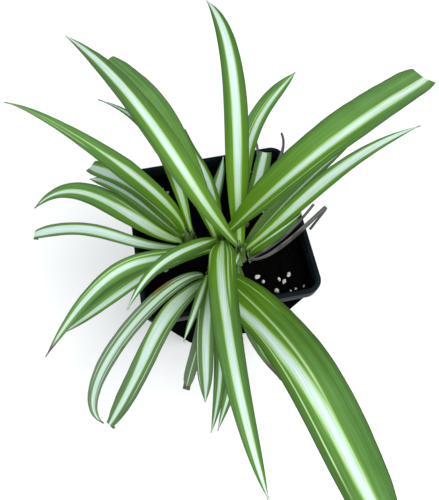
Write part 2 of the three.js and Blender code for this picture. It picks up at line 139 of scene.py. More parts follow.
LOOKS = {
    "leaf_top": marks((0, 0.05, 0.32), (0.5, 0.04, 0.38), (1, 0, 0.5), light=-0.15),
    "leaf_top_right": marks((0, 0.15, 0.3), (0.5, 0.25, 0.28), (1, 0.2, 0.2), light=0.5,
        lines=[(-0.2, 0.06, 0.2, 0.8)], tip=0.03),
    "leaf_back_left": marks((0, 0.1, 0.5), (1, 0.1, 0.5), light=0.6, lines=[(0.68, 0.08, 0.1, 0.7)]),
    "leaf_back_right": marks((0, -0.1, 0.4), (1, 0, 0.4), light=0.3, grey=0.2),
    "leaf_upper_right": marks((0, 0.1, 0.14), (0.35, 0.16, 0.2), (0.7, 0.2, 0.24), (1, 0.25, 0.25),
        lines=[(0.66, 0.025, 0.1, 0.5)], light=0.3),
    "leaf_right": marks((0, 0, 0.34), (0.4, -0.05, 0.5), (1, 0, 0.6), light=0.5, tip=0.05),
    "leaf_right_shaded": marks((0, 0.2, 0.1), (1, 0.3, 0.14), light=0.4, grey=0.5),
    "leaf_right_low": marks((0, -0.4, 0.16), (1, -0.3, 0.2), light=0),
    "leaf_lower_right": marks((0, 1.1, 0.1), (0.06, 0.9, 0.16), (0.14, 0.68, 0.2), (0.3, 0.5, 0.23),
        (0.46, 0.36, 0.25), (0.6, 0.17, 0.25), (1, -0.05, 0.24),
        lines=[(-0.1, 0.07, 0.1, 0.64), (-0.66, 0.03, 0.0, 0.34), (0.72, 0.04, 0.2, 0.8)], light=0.15),
    "leaf_young": marks((0, 0, 0.3), (1, 0, 0.3), light=1),
    "leaf_right_under": marks((0, 0, 0.05), (1, 0, 0.05), light=0, grey=0.5, tip=0.2),
    "leaf_front": marks((0, 0.1, 0.22), (0.15, 0.14, 0.28), (0.5, -0.05, 0.3), (1, 0, 0.44),
        lines=[(-0.42, 0.09, 0.0, 0.45), (-0.7, 0.04, 0.02, 0.3), (0.9, 0.05, 0.0, 0.25)], light=0.15),
    "leaf_short_left": marks((0, 0, 0.2), (0.15, 0, 0.3), (1, 0, 0.42), light=0),
    "leaf_lower_left_upper": marks((0, -0.05, 0.2), (0.4, 0.05, 0.34), (1, 0, 0.4), light=0.75,
        lines=[(0.62, 0.09, 0.1, 0.7)], tip=0.13),
    "leaf_lower_left_under": marks((0, -0.2, 0.25), (0.5, -0.35, 0.32), (1, -0.2, 0.4), light=0.9),
    "leaf_left_low": marks((0, 0, 0.6), (1, 0, 0.6), light=0.4, grey=0.5, tip=0.06),
    "leaf_left_broad": marks((0, 0, 0.7), (0.25, 0.1, 0.45), (0.45, 0, 0.26), (1, -0.1, 0.28), light=0.4,
        lines=[(0.62, 0.06, 0.0, 0.5)], tip=0.07),
    "leaf_left_middle": marks((0, 0.1, 0.5), (1, 0.1, 0.5), light=0.9, grey=0.15),
    "leaf_left_upper": marks((0, 0, 0.4), (0.7, -0.1, 0.45), (1, -0.1, 0.36), light=0.5),
    "leaf_long_left": marks((0, 0.1, 0.16), (0.16, 0.15, 0.3), (0.34, 0.15, 0.26), (0.5, 0.1, 0.07),
        (1, 0, 0.05), light=0.5, lines=[(-0.5, 0.08, 0.5, 1.2)], tip=0.03),
    "leaf_left_tall": marks((0, 0, 0.46), (1, 0, 0.42), light=0.3, tip=0.04),
    "leaf_upper_left": marks((0, 0.05, 0.26), (0.5, 0.05, 0.32), (1, 0, 0.5), light=0, grey=0.25),
    "leaf_upper_left_under": marks((0, -0.35, 0.26), (1, -0.3, 0.16), light=0.8, grey=0.1),
    "leaf_upper_left_inner": marks((0, 0.1, 0.3), (0.4, 0.3, 0.34), (1, 0.3, 0.34), light=0.1),
    "leaf_loop_left": marks((0, 0.1, 0.2), (0.3, 0, 0.3), (1, -0.1, 0.36), light=0.5, grey=1,
        lines=[(-0.6, 0.08, 0.1, 0.9), (0.62, 0.06, 0.0, 0.8)], tip=0.05, wave=1.5,
        scars=[(0.22, 0.85, 0.08, 0.35), (0.52, -0.9, 0.02, 0.3)]),
    "leaf_loop_right": marks((0, 0, 0.4), (0.22, 0.2, 0.6), (0.42, 0.2, 0.46), (0.62, 0.08, 0.32),
        (1, 0.05, 0.28), light=0.1, grey=0.6, wave=1.5,
        lines=[(-0.62, 0.05, 0.1, 0.8), (0.6, 0.06, 0.0, 0.5)], tip=0.04),
    "leaf_front_thin": marks((0, -0.1, 0.4), (1, 0, 0.5), light=0.4),
    "leaf_front_low_left": marks((0, 0, 0.2), (0.5, 0, 0.08), (1, 0, 0.08), light=0, grey=1, tip=0.06),
    "leaf_front_low_middle": marks((0, -0.2, 0.3), (0.4, -0.1, 0.4), (1, -0.1, 0.34), light=0.2, grey=0.6,
        lines=[(0.8, 0.06, 0.2, 0.9)]),
    "leaf_front_low_right": marks((0, 0, 0.3), (1, 0, 0.3), light=0.15, grey=0.2),
    "leaf_front_low_far": marks((0, 0, 0.3), (1, 0, 0.3), light=0.15, grey=0.2),
}
MOST_LINES = 3  # thin lines that one leaf can carry
NO_LINE = (0, 0.1, 0, 0)  # fills the places of lines that a leaf doesn't have

# Perlite seen on the open soil: x, y, radius
SEEN_PERLITE = ((17, -31.5, 1.5), (19.5, -35, 1.1), (35, -33.5, 1.6), (28.8, -35.6, 1.3), (31.2, -37.4, 1.5),
                (26, -42, 1.6), (34, -43, 0.7), (37, -42.5, 0.9), (41.5, -42.5, 0.6))

# ---- node materials


class Graph:
    """A material's nodes, joined with few words."""

    def __init__(self, name):
        self.material = bpy.data.materials.new(name)
        self.material.use_nodes = True
        self.tree = self.material.node_tree
        self.tree.nodes.clear()
        self.out = self.node("ShaderNodeOutputMaterial")
        self.shader = self.node("ShaderNodeBsdfPrincipled")
        self.join(self.shader.outputs[0], self.out.inputs["Surface"])

    def node(self, kind, **settings):
        made = self.tree.nodes.new(kind)
        for key, value in settings.items():
            setattr(made, key, value)
        return made

    def join(self, source, socket):
        if isinstance(source, bpy.types.NodeSocket):
            self.tree.links.new(source, socket)
        else:
            socket.default_value = source

    def feed(self, node, **sources):
        for name, source in sources.items():
            self.join(source, node.inputs[name])

    def attribute(self, name):
        return self.node("ShaderNodeAttribute", attribute_name=name)

    def number(self, name):
        return self.attribute(name).outputs["Fac"]

    def split(self, name):
        parts = self.node("ShaderNodeSeparateXYZ")
        self.join(self.attribute(name).outputs["Vector"], parts.inputs[0])
        return parts.outputs

    def math(self, operation, *values, clamp=False):
        made = self.node("ShaderNodeMath", operation=operation, use_clamp=clamp)
        for value, socket in zip(values, made.inputs):
            self.join(value, socket)
        return made.outputs[0]

    def times(self, value, factor):
        return self.math("MULTIPLY", value, factor)

    def less(self, value, taken):
        return self.math("SUBTRACT", value, taken)

    def step(self, value, start, end):
        """Smooth change from 0 at start to 1 at end."""
        made = self.node("ShaderNodeMapRange", interpolation_type="SMOOTHSTEP")
        for socket, source in zip(made.inputs, (value, start, end, 0.0, 1.0)):
            self.join(source, socket)
        return made.outputs[0]

    def mix(self, share, a, b, blend="MIX"):
        made = self.node("ShaderNodeMix", data_type="RGBA", blend_type=blend)
        self.join(share, made.inputs["Factor"])
        for source, socket in ((a, made.inputs[6]), (b, made.inputs[7])):
            self.join((*source, 1.0) if isinstance(source, tuple) else source, socket)
        return made.outputs[2]

    def noise(self, scale, detail=3.0, vector=None, stretch=None, roughness=0.5):
        made = self.node("ShaderNodeTexNoise")
        if vector is None:
            vector = self.node("ShaderNodeTexCoord").outputs["Object"]
        if stretch:
            mapping = self.node("ShaderNodeMapping")
            self.feed(mapping, Scale=stretch, Vector=vector)
            vector = mapping.outputs[0]
        self.feed(made, Scale=scale, Detail=detail, Roughness=roughness, Vector=vector)
        return made.outputs["Fac"]

    def bump(self, height, distance, strength=1.0):
        made = self.node("ShaderNodeBump")
        self.feed(made, Distance=distance, Strength=strength, Height=height)
        self.feed(self.shader, Normal=made.outputs[0])

    def finish(self, colour, roughness, specular=0.5, ior=1.5):
        self.join((*colour, 1.0) if isinstance(colour, tuple) else colour, self.shader.inputs["Base Color"])
        self.feed(self.shader, Roughness=roughness, IOR=ior, **{"Specular IOR Level": specular})
        return self.material


# Leaf colours
WHITE = (0.60, 0.73, 0.715)
CREAM = (0.36, 0.56, 0.20)
LINE_PALE = (0.44, 0.62, 0.26)
YELLOW_GREEN = (0.125, 0.27, 0.004)
DEEP_GREEN = (0.092, 0.228, 0.0)
DARK_GREEN = (0.020, 0.068, 0.002)
MID_GREEN = (0.063, 0.164, 0.026)
LIGHT_GREEN = (0.146, 0.308, 0.088)
GREY_GREEN = (0.135, 0.180, 0.118)
GREY_WHITE = (0.49, 0.62, 0.56)
RIM = (0.035, 0.05, 0.02)
UNDERSIDE = (0.22, 0.31, 0.18)
BASE_PALE = (0.30, 0.38, 0.16)
VEIN_DARK = (0.35, 0.55, 0.25)
DRY = (0.075, 0.06, 0.045)
ROT = (0.12, 0.10, 0.03)
WITHERED_DARK = (0.035, 0.032, 0.03)
WITHERED_PALE = (0.16, 0.165, 0.155)
WITHERED_BLOTCH = (0.06, 0.06, 0.045)
# Crown colours
CROWN_PALE = (0.24, 0.24, 0.11)
CROWN_GREEN = (0.055, 0.13, 0.01)
CROWN_STREAK = (0.20, 0.27, 0.10)
CROWN_SOILED = (0.05, 0.035, 0.02)
# Pot, soil and perlite colours, each pair from dark to pale
# the lip's pair: black plastic, then a painted blue sheen mixed in by patches
LIP_BLACK_AND_PAINTED_SHEEN = ((0.004, 0.0065, 0.008), (0.012, 0.02, 0.025))
LIP_DUST = (0.03, 0.03, 0.03)
WALL_BLACK = ((0.0012, 0.0013, 0.0015), (0.003, 0.0033, 0.0037))
WALL_DUST = (0.012, 0.011, 0.010)
SOIL_BROWN = ((0.0003, 0.0003, 0.0003), (0.0016, 0.0013, 0.0012))
CRUMB_BROWN = ((0.0004, 0.0004, 0.0004), (0.0035, 0.0027, 0.0022))
SOIL_LUMP = (0.002, 0.0015, 0.001)
PERLITE_GREY = ((0.40, 0.38, 0.35), (0.74, 0.74, 0.72))

# How fine the patterns are, in cells per metre. On blades: across, along, and 1 for the shift from leaf to
# leaf. On crowns: along x, y and z.
BANDS = (620, 9, 1)
PATCHES = (140, 70, 1)
FIBRES = (2300, 30, 1)
HAIRS = (5200, 40, 1)
WITHERED_FIBRES = (2400, 60, 1)
WITHERED_BLOTCHES = (300, 90, 1)
CROWN_FIBRES = (1100, 1100, 50)

LEAF_ROUGHNESS = 0.46
LEAF_SPECULAR = 0.06
PLASTIC_IOR = 1.08  # low, for a faint sheen
SOIL_IOR = 1.1


def leaf_green(g, across, along, light, grey, streak):
    """The green of a blade: deep at the root and towards the margins, in soft bands along its length."""
    band = g.noise(1.0, 2, streak, BANDS)
    patches = g.noise(1.0, 3, streak, PATCHES)
    green = g.mix(g.step(along, 0.18, 0.66), DEEP_GREEN, MID_GREEN)
    shift = g.math("MULTIPLY_ADD", g.less(patches, 0.5), 0.6, light, clamp=True)
    shift = g.times(shift, g.step(along, 0.05, 0.6))
    green = g.mix(shift, green, LIGHT_GREEN)
    bright = g.mix(g.step(along, 0.05, 0.5), YELLOW_GREEN, LIGHT_GREEN)
    green = g.mix(g.times(g.step(band, 0.5, 0.7), 0.4), green, bright)
    green = g.mix(g.times(g.step(band, 0.46, 0.3), 0.4), green, DARK_GREEN)
    margin = g.step(g.math("ABSOLUTE", across), 0.55, 1.0)
    margin = g.times(margin, g.step(along, 0.0, 0.5))
    green = g.mix(g.times(margin, 0.5), green, DARK_GREEN)
    return g.mix(g.times(grey, 0.8), green, GREY_GREEN)


def leaf_stripe(g, green, across, along, grey, streak):
    """The white stripe, its yellow-green border, and the fine green hairs in it."""
    middle, half, _ = g.split("stripe")
    fine = g.noise(1.0, 3, streak, FIBRES)
    hair = g.noise(1.0, 2, streak, HAIRS)
    wander = g.times(g.less(fine, 0.5), 0.16)
    away = g.math("ADD", g.math("ABSOLUTE", g.less(across, middle)), wander)
    white = g.step(away, g.math("ADD", half, 0.075), g.less(half, 0.06))
    halo = g.step(away, g.math("ADD", half, 0.3), half)
    core = g.step(away, g.math("ADD", half, 0.02), g.less(half, 0.2))
    warm = g.less(0.7, g.times(g.step(along, 0.1, 0.7), 0.45))
    colour = g.mix(g.times(halo, warm), green, YELLOW_GREEN)
    pale = g.mix(g.times(core, g.step(along, -0.02, 0.34)), CREAM, WHITE)
    pale = g.mix(g.times(g.step(hair, 0.5, 0.7), 0.28), pale, LIGHT_GREEN)
    pale = g.mix(g.times(grey, 0.6), pale, GREY_WHITE)
    return g.mix(white, colour, pale), fine, hair


def leaf_material():
    """Green blade with a white stripe. The mesh says where the stripe and the thin lines run."""
    g = Graph("spider_leaf")
    across, along, under = g.number("across"), g.number("along"), g.number("under")
    light, grey, tip = g.split("tone")
    streak = g.attribute("streak").outputs["Vector"]
    green = leaf_green(g, across, along, light, grey, streak)
    colour, fine, hair = leaf_stripe(g, green, across, along, grey, streak)
    line_colour = g.mix(grey, LINE_PALE, GREY_WHITE)
    for number in range(MOST_LINES):
        place, breadth, strength = g.split("line_%d" % number)
        off = g.math("ABSOLUTE", g.less(across, place))
        off = g.math("MULTIPLY_ADD", g.less(fine, 0.5), 0.05, off)
        drawn = g.step(off, breadth, g.times(breadth, 0.35))
        colour = g.mix(g.times(drawn, strength), colour, line_colour)

    veins = g.times(g.step(hair, 0.35, 0.65), 0.3)
    colour = g.mix(veins, colour, VEIN_DARK, "MULTIPLY")
    rim = g.step(g.math("ABSOLUTE", across), 0.93, 0.99)
    colour = g.mix(g.times(rim, 0.7), colour, RIM)
    colour = g.mix(g.times(under, 0.5), colour, UNDERSIDE)
    colour = g.mix(g.step(along, -0.1, -0.6), colour, BASE_PALE)
    colour = g.mix(g.step(g.number("scar"), 0.35, 0.75), colour, ROT)
    dry_from = g.less(1.005, tip)
    dry_to = g.less(1.01, g.times(tip, 0.5))
    dry = g.step(along, dry_from, dry_to)
    colour = g.mix(g.times(dry, 0.9), colour, DRY)
    ribs = g.math("ADD", fine, g.times(hair, 0.4))
    g.bump(ribs, 0.00016, 0.9)
    return g.finish(colour, LEAF_ROUGHNESS, LEAF_SPECULAR)


def withered_material():
    """Grey-brown and fibrous, with darker blotches."""
    g = Graph("withered_leaf")
    streak = g.attribute("streak").outputs["Vector"]
    fine = g.noise(1.0, 4, streak, WITHERED_FIBRES)
    blotch = g.noise(1.0, 3, streak, WITHERED_BLOTCHES)
    colour = g.mix(g.step(fine, 0.35, 0.65), WITHERED_DARK, WITHERED_PALE)
    colour = g.mix(g.step(blotch, 0.5, 0.62), colour, WITHERED_BLOTCH)
    g.bump(fine, 0.0005, 0.9)
    return g.finish(colour, g.math("MULTIPLY_ADD", blotch, 0.3, 0.5), 0.2)


def crown_material():
    """Pale near the soil and green above it, streaked, with a soiled foot."""
    g = Graph("crown_flesh")
    place = g.node("ShaderNodeTexCoord").outputs["Object"]
    above = g.node("ShaderNodeSeparateXYZ")
    g.join(place, above.inputs[0])
    height = g.less(above.outputs[2], SOIL.top * MM)
    streaks = g.noise(1.0, 3, place, CROWN_FIBRES)
    colour = g.mix(g.step(height, -0.001, 0.014), CROWN_PALE, CROWN_GREEN)
    colour = g.mix(g.times(g.step(streaks, 0.45, 0.7), 0.6), colour, CROWN_STREAK)
    colour = g.mix(g.step(height, 0.003, -0.002), colour, CROWN_SOILED)
    g.bump(streaks, 0.0004, 0.8)
    return g.finish(colour, 0.55, 0.2)


def pot_lip_material():
    """Black plastic with a little dust, and soft patches of a painted blue sheen."""
    g = Graph("pot_plastic")
    fine = g.noise(900, 3)
    cloud = g.noise(45, 4)
    dust = g.noise(160, 5, roughness=0.7)
    # painted sheen: a bluish highlight mixed into the black in soft patches
    colour = g.mix(g.step(cloud, 0.3, 0.75), *LIP_BLACK_AND_PAINTED_SHEEN)
    colour = g.mix(g.times(g.step(dust, 0.62, 0.8), 0.12), colour, LIP_DUST)
    g.bump(g.math("MULTIPLY_ADD", cloud, 2.0, fine), 0.00006, 0.5)
    return g.finish(colour, g.math("MULTIPLY_ADD", g.step(dust, 0.4, 0.8), 0.2, 0.22), 0.5, PLASTIC_IOR)


def pot_wall_material():
    """The wall below the lip: the same plastic with a duller, finely grained face."""
    g = Graph("pot_plastic_wall")
    fine = g.noise(1400, 4, roughness=0.65)
    drift = g.noise(30, 4)
    dust = g.noise(120, 5, roughness=0.7)
    colour = g.mix(g.step(drift, 0.35, 0.7), *WALL_BLACK)
    colour = g.mix(g.times(g.step(dust, 0.6, 0.8), 0.2), colour, WALL_DUST)
    g.bump(fine, 0.00015, 0.6)
    return g.finish(colour, g.math("MULTIPLY_ADD", drift, 0.15, 0.45), 0.0)


def soil_material(name, dark, brown):
    """Moist peat: fine grain over coarser lumps."""
    g = Graph(name)
    grain = g.noise(700, 5, roughness=0.65)
    lumps = g.noise(110, 4)
    colour = g.mix(g.step(grain, 0.35, 0.7), dark, brown)
    colour = g.mix(g.step(lumps, 0.55, 0.7), colour, SOIL_LUMP)
    g.bump(g.math("ADD", grain, lumps), 0.0006, 0.9)
    return g.finish(colour, g.less(0.95, g.times(grain, 0.3)), 0.5, SOIL_IOR)


def perlite_material():
    """Matt white grains with grey pits."""
    g = Graph("perlite")
    pits = g.noise(1800, 4, roughness=0.6)
    colour = g.mix(g.step(pits, 0.35, 0.65), *PERLITE_GREY)
    g.bump(pits, 0.0003, 0.9)
    return g.finish(colour, 0.85, 0.3)


# ---- mesh helpers


def put_in_scene(name, data):
    made = bpy.data.objects.new(name, data)
    bpy.context.scene.collection.objects.link(made)
    return made


def smooth(mesh, sharp):
    """Shades the mesh smoothly, but for edges that turn more than that many degrees."""
    for polygon in mesh.polygons:
        polygon.use_smooth = True
    mesh.set_sharp_from_angle(angle=math.radians(sharp))


def add_piece(name, points, faces, material, nodes, sharp=50):
    """A smooth mesh object from points in millimetres, which rides on the part and replaces nodes of it."""
    mesh = bpy.data.meshes.new(name)
    mesh.from_pydata([tuple(p) for p in np.asarray(points, float) * MM], [], [tuple(f) for f in faces])
    mesh.validate()
    smooth(mesh, sharp)
    mesh.materials.append(material)
    made = put_in_scene(name, mesh)
    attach(made, "root")
    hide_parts(*nodes)
    return made


def set_numbers(piece, name, values, kind="FLOAT", field="value"):
    attribute = piece.data.attributes.new(name, kind, "POINT")
    attribute.data.foreach_set(field, np.asarray(values, np.float32).ravel())


def set_vectors(piece, name, values):
    set_numbers(piece, name, values, "FLOAT_VECTOR", "vector")


def ring_faces(count, rings):
    """Faces of a tube of rings with count points each; the ends are closed by one face each."""
    faces = []
    for r in range(rings - 1):
        for i in range(count):
            a, b = r * count + i, r * count + (i + 1) % count
            faces.append((a, b, b + count, a + count))
    faces.append(tuple(reversed(range(count))))
    faces.append(tuple(range((rings - 1) * count, rings * count)))
    return faces


def rounded_square(half, corner, z, per_corner=12):
    """Points round a square of the given half breadth, with round corners, at height z."""
    angles = np.linspace(0, math.pi / 2, per_corner)
    points = []
    for quarter in range(4):
        middle = (quarter + 0.5) * math.pi / 2
        cx = math.copysign(half - corner, math.cos(middle))
        cy = math.copysign(half - corner, math.sin(middle))
        for angle in angles + quarter * math.pi / 2:
            points.append((cx + corner * math.cos(angle), cy + corner * math.sin(angle), z))
    return points


def pot_half(z):
    """Half the breadth of the pot's outside at height z, without the lip."""
    return POT.base_half + (POT.rim_half - POT.lip_step - POT.base_half) * z / POT.height


def pot_corner(z):
    return POT.base_corner + (POT.rim_corner - POT.base_corner) * z / POT.height


def crown_radius(z):
    return CROWN.soil_radius - CROWN.taper * (z - SOIL.top)


def soil_height(x, y):
    """The rise and fall of the soil's surface, as in the solids."""
    return SOIL.relief * (
        np.sin(0.31 * x + 1.3) * np.cos(0.27 * y) + 0.5 * np.sin(0.71 * x - 0.53 * y)
    )


# ---- leaves

STATION = 2.0  # length of one step along a blade
FEWEST_STEPS = 12  # of a short blade
ACROSS = 15  # points across a blade
CROWDING = 0.9  # below 1, the points across lie closer together towards the margins
FOLD = 0.55  # how far the channel is a V, and the rest of it round
FOLD_ROUND = 0.006  # rounds the bottom of the V
BEND_STEPS = 12  # steps round a crease
RANK_STEP = 0.28  # how far each lower leaf's base lies outside the one above it
# A withered blade: breadth and channel as shares of the solid's, least half width, ripple, first number
SHRIVELLED = Sizes(breadth=0.8, channel=1.3, least_half=0.8, wave=2.5, number=50)
# A leaf's clasping base: depth in the soil, gap from the crown, length of a step, shares of its reach over
# which it rises and leans, greatest half width, how much wider than the root it gets, length that counts as 1
SHEATH = Sizes(buried=0.8, gap=0.1, step=1.2, rise=0.45, lean=0.4, widest=5.2, wider=2.6, scale=40.0)
# Waves of a blade's margin: radians per millimetre along it, slant across it, share of the height
WAVES = ((0.11, 1.3, 1.0), (0.23, -2.0, 0.6), (0.55, 2.5, 0.35))
# Their height on a blade of this half width, least and most share of it on others, start, growth, seed
WAVE = Sizes(height=0.15, half=4, least=0.2, most=1.6, begin=0.08, grow=6, seed=100)
# Thinning: share lost at the margin, its power, share left of a blade without width, full half width, least
THIN = Sizes(margin=0.72, power=3, narrow=0.45, full_half=3, least=0.5)
FLAT_CURL = 1e-4  # a blade that curls less than this per millimetre is flat
LINE = Sizes(fade_in=0.06, fade_out=0.12, strength=0.85)  # shares of the length, and how strong a line is
PATTERN_SHIFT = 3.7  # from one leaf's pattern to the next one's


def unit(v):
    return v / np.linalg.norm(v, axis=-1, keepdims=True)


def vectors(*parts):
    """Vectors from their three parts, which are arrays or single numbers."""
    return np.stack(np.broadcast_arrays(*parts), -1)


def outward_at(angle):
    turn = math.radians(angle)
    return np.array([math.cos(turn), math.sin(turn), 0])


def bezier(controls, t):
    a, b, c, d = controls
    t = np.asarray(t)[:, None]
    return (1 - t) ** 3 * a + 3 * (1 - t) ** 2 * t * b + 3 * (1 - t) * t * t * c + t**3 * d


def way_along(points):
    return np.r_[0, np.cumsum(np.linalg.norm(np.diff(points, axis=0), axis=1))]


def even_points(controls, count):
    """Evenly spaced points on a curve, and its length."""
    dense = bezier(controls, np.linspace(0, 1, 400))
    walked = way_along(dense)
    wanted = np.linspace(0, walked[-1], count)
    return np.stack([np.interp(wanted, walked, dense[:, k]) for k in range(3)], 1), walked[-1]


def curve_through(root, third, two_thirds, end):
    """Controls of the curve that the solids use: it passes the points at a third and two thirds."""
    return (root, (-5 * root + 18 * third - 9 * two_thirds + 2 * end) / 6,
            (2 * root - 9 * third + 18 * two_thirds - 5 * end) / 6, end)


def hanging_end(at, direction, heading, hang, crease):
    """Points and directions past a crease, where the leaf's end hangs down."""
    start = math.asin(direction[2])
    bend = math.radians(crease) - start
    towards = lambda angle: heading * math.cos(angle) + np.array([0, 0, math.sin(angle)])
    step = BLADE.bend_radius * abs(bend) / BEND_STEPS
    stations = []
    for i in range(BEND_STEPS):
        at = at + towards(start + bend * (i + 0.5) / BEND_STEPS) * step
        stations.append((at, towards(start + bend * (i + 1) / BEND_STEPS)))
    down = stations[-1][1]
    steps = max(2, round(hang / STATION))
    for _ in range(steps):
        at = at + down * hang / steps
        stations.append((at, down))
    return zip(*stations)


def midrib(crown, angle, height, third, two_thirds, end, hang=0, crease=-100, **_):
    """Points, directions and headings along the blade, as in the solids but in finer steps."""
    x, y, _top = CROWNS[crown]
    lip = np.array([0, 0, POT.height])
    seat = crown_radius(POT.height + height) + CLEARANCE + BLADE.seat
    root = np.array([x, y, height]) + lip + seat * outward_at(angle)
    controls = curve_through(root, *(np.array(p, float) + lip for p in (third, two_thirds, end)))
    _, length = even_points(controls, 10)
    points, _ = even_points(controls, max(FEWEST_STEPS, round(length / STATION)) + 1)
    directions = unit(np.gradient(points, axis=0, edge_order=2))
    headings = unit(directions * (1, 1, 0))
    if hang:
        more, down = hanging_end(points[-1], directions[-1], headings[-1], hang, crease)
        points = np.vstack([points, *more])
        directions = np.vstack([directions, *down])
        headings = np.vstack([headings, *[headings[-1]] * len(more)])
    return points, directions, headings


def half_width(share, width, neck=BLADE.neck, grow=BLADE.grow, taper=BLADE.taper,
               tip_half=BLADE.tip_half, **_):
    """Half the blade's width at each share of its length, as in the solids."""
    grown = neck + (1 - neck) * np.sin(math.pi / 2 * np.minimum(1, share / grow))
    narrowed = 1 - np.maximum(0, (share - grow) / (1 - grow)) ** taper
    return np.maximum(tip_half, width / 2 * grown * narrowed)


def clasping_base(crown, angle, rank, root, direction, heading, half, lift):
    """Stations from the soil up to just below the blade's root, wrapped round the crown."""
    x, y, _top = CROWNS[crown]
    outward = outward_at(angle)
    low = SOIL.top - SHEATH.buried
    radius = crown_radius(low) + SHEATH.gap + RANK_STEP * rank
    start = np.array([x, y, low]) + outward * radius
    reach = np.linalg.norm(root - start)
    rise = np.array([0, 0, SHEATH.rise * reach])
    count = max(4, round(reach / SHEATH.step)) + 1
    controls = (start, start + rise, root - direction * SHEATH.lean * reach, root)
    points, length = even_points(controls, count)
    share = np.linspace(0, 1, count)
    ease = share * share * (3 - 2 * share)
    widest = min(SHEATH.widest, half + SHEATH.wider)
    directions = unit(np.gradient(points, axis=0, edge_order=2))
    headings = unit((1 - share)[:-1, None] * outward + share[:-1, None] * heading)
    halves = half + (widest - half) * (1 - share) ** 2
    below = share[:-1] - 1
    return dict(points=points[:-1], directions=directions[:-1], headings=headings, halves=halves[:-1],
                lifts=(ease * lift)[:-1], curls=((1 - ease) / radius)[:-1], walked=length * below,
                along=below * length / SHEATH.scale)


def leaf_stations(row, rank):
    """All that the mesh needs at each step from the soil to the leaf's tip, by name."""
    crown, angle, *_, width, special = row
    points, directions, headings = midrib(*row[:6], **special)
    walked = way_along(points)
    share = walked / walked[-1]
    halves = half_width(share, width, **special)
    lifts = halves * np.interp(share, *CHANNEL)
    blade = dict(points=points, directions=directions, headings=headings, halves=halves, lifts=lifts,
                 curls=np.zeros(len(share)), walked=walked, along=share)
    base = clasping_base(crown, angle, rank, points[0], directions[0], headings[0], halves[0], lifts[0])
    return {key: np.concatenate([base[key], blade[key]]) for key in blade}


def blade_rings(stations, number, wave):
    """Closed rings of points, one at each station: the lower face, then the upper face backwards."""
    side = np.linspace(-1, 1, ACROSS)
    side = np.sign(side) * np.abs(side) ** CROWDING
    halves, walked = stations["halves"][:, None], stations["walked"][:, None]
    headings = stations["headings"]
    across = vectors(headings[:, 1], -headings[:, 0], 0)
    up = unit(np.cross(across, stations["directions"]))[:, None, :]

    section = FOLD * np.sqrt(side**2 + FOLD_ROUND) + (1 - FOLD) * side**2
    section = (section - section.min()) / (section.max() - section.min())
    phases = np.random.default_rng(WAVE.seed + number).uniform(0, 2 * math.pi, len(WAVES))
    ripple = sum(height * np.sin(walked * pitch + phase + side * slant)
                 for (pitch, slant, height), phase in zip(WAVES, phases))
    ripple = ripple * WAVE.height * wave * side**2
    ripple *= np.clip(halves / WAVE.half, WAVE.least, WAVE.most)
    ripple *= np.clip((stations["along"] - WAVE.begin) * WAVE.grow, 0, 1)[:, None]

    arc = side * halves
    curl = stations["curls"][:, None]
    round_by = np.maximum(curl, 1e-5)
    lateral = np.where(curl > FLAT_CURL, np.sin(arc * round_by) / round_by, arc)
    rise = np.where(curl > FLAT_CURL, (1 - np.cos(arc * round_by)) / round_by, 0)
    rise = rise + stations["lifts"][:, None] * section + ripple
    full = THIN.narrow + (1 - THIN.narrow) * halves / THIN.full_half
    thick = BLADE.thickness * (1 - THIN.margin * np.abs(side) ** THIN.power)
    thick = thick * np.clip(full, THIN.least, 1)
    middle = stations["points"][:, None, :] + across[:, None, :] * lateral[..., None] + up * rise[..., None]
    shell = up * thick[..., None] / 2
    return np.concatenate([middle - shell, (middle + shell)[:, ::-1]], axis=1), side


def mark_blade(piece, stations, side, look, number):
    """Gives the mesh what the leaf material reads: where a point lies on the leaf, and how it is marked."""
    along = stations["along"]
    both = np.r_[side, side[::-1]]
    count, rings = len(both), len(along)
    spread = lambda values: np.repeat(np.asarray(values), count, axis=0)
    set_numbers(piece, "across", np.tile(both, rings))
    set_numbers(piece, "along", spread(along))
    set_numbers(piece, "under", np.tile(np.r_[np.ones(ACROSS), np.zeros(ACROSS)], rings))
    places, middles, halves = zip(*look["stripe"])
    stripe = vectors(np.interp(along, places, middles), np.interp(along, places, halves), 0)
    set_vectors(piece, "stripe", spread(stripe))
    lines = tuple(look["lines"]) + (NO_LINE,) * MOST_LINES
    for index in range(MOST_LINES):
        across, breadth, start, stop = lines[index]
        begun = np.clip((along - start) / LINE.fade_in, 0, 1)
        left = np.clip((stop - along) / LINE.fade_out, 0, 1)
        line = vectors(across, breadth, begun * left * LINE.strength)
        set_vectors(piece, "line_%d" % index, spread(line))
    set_vectors(piece, "tone", spread(np.tile((look["light"], look["grey"], look["tip"]), (rings, 1))))
    scar = np.zeros((rings, count))
    for at, across, length, breadth in look["scars"]:
        spot = ((along[:, None] - at) / length) ** 2 + ((both - across) / breadth) ** 2
        scar = np.maximum(scar, np.exp(-spot))
    set_numbers(piece, "scar", scar)
    sideways = both * stations["halves"][:, None] * MM
    lengthways = stations["walked"][:, None] * MM
    set_vectors(piece, "streak", vectors(sideways, lengthways, PATTERN_SHIFT * number))


def blade_piece(name, stations, look, number, material, node):
    """One blade; its number seeds the waves of its margin and shifts its pattern."""
    rings, side = blade_rings(stations, number, look["wave"])
    faces = ring_faces(rings.shape[1], rings.shape[0])
    piece = add_piece(name, rings.reshape(-1, 3), faces, material, [node], sharp=60)
    mark_blade(piece, stations, side, look, number)


def ranks_on_crowns():
    """Each leaf's place on its crown, counted from the highest root down."""
    by_crown = {}
    for name, row in {**LEAVES, **WITHERED}.items():
        by_crown.setdefault(row[0], []).append((row[2], name))
    return {name: rank for rows in by_crown.values()
            for rank, (_height, name) in enumerate(sorted(rows, reverse=True))}


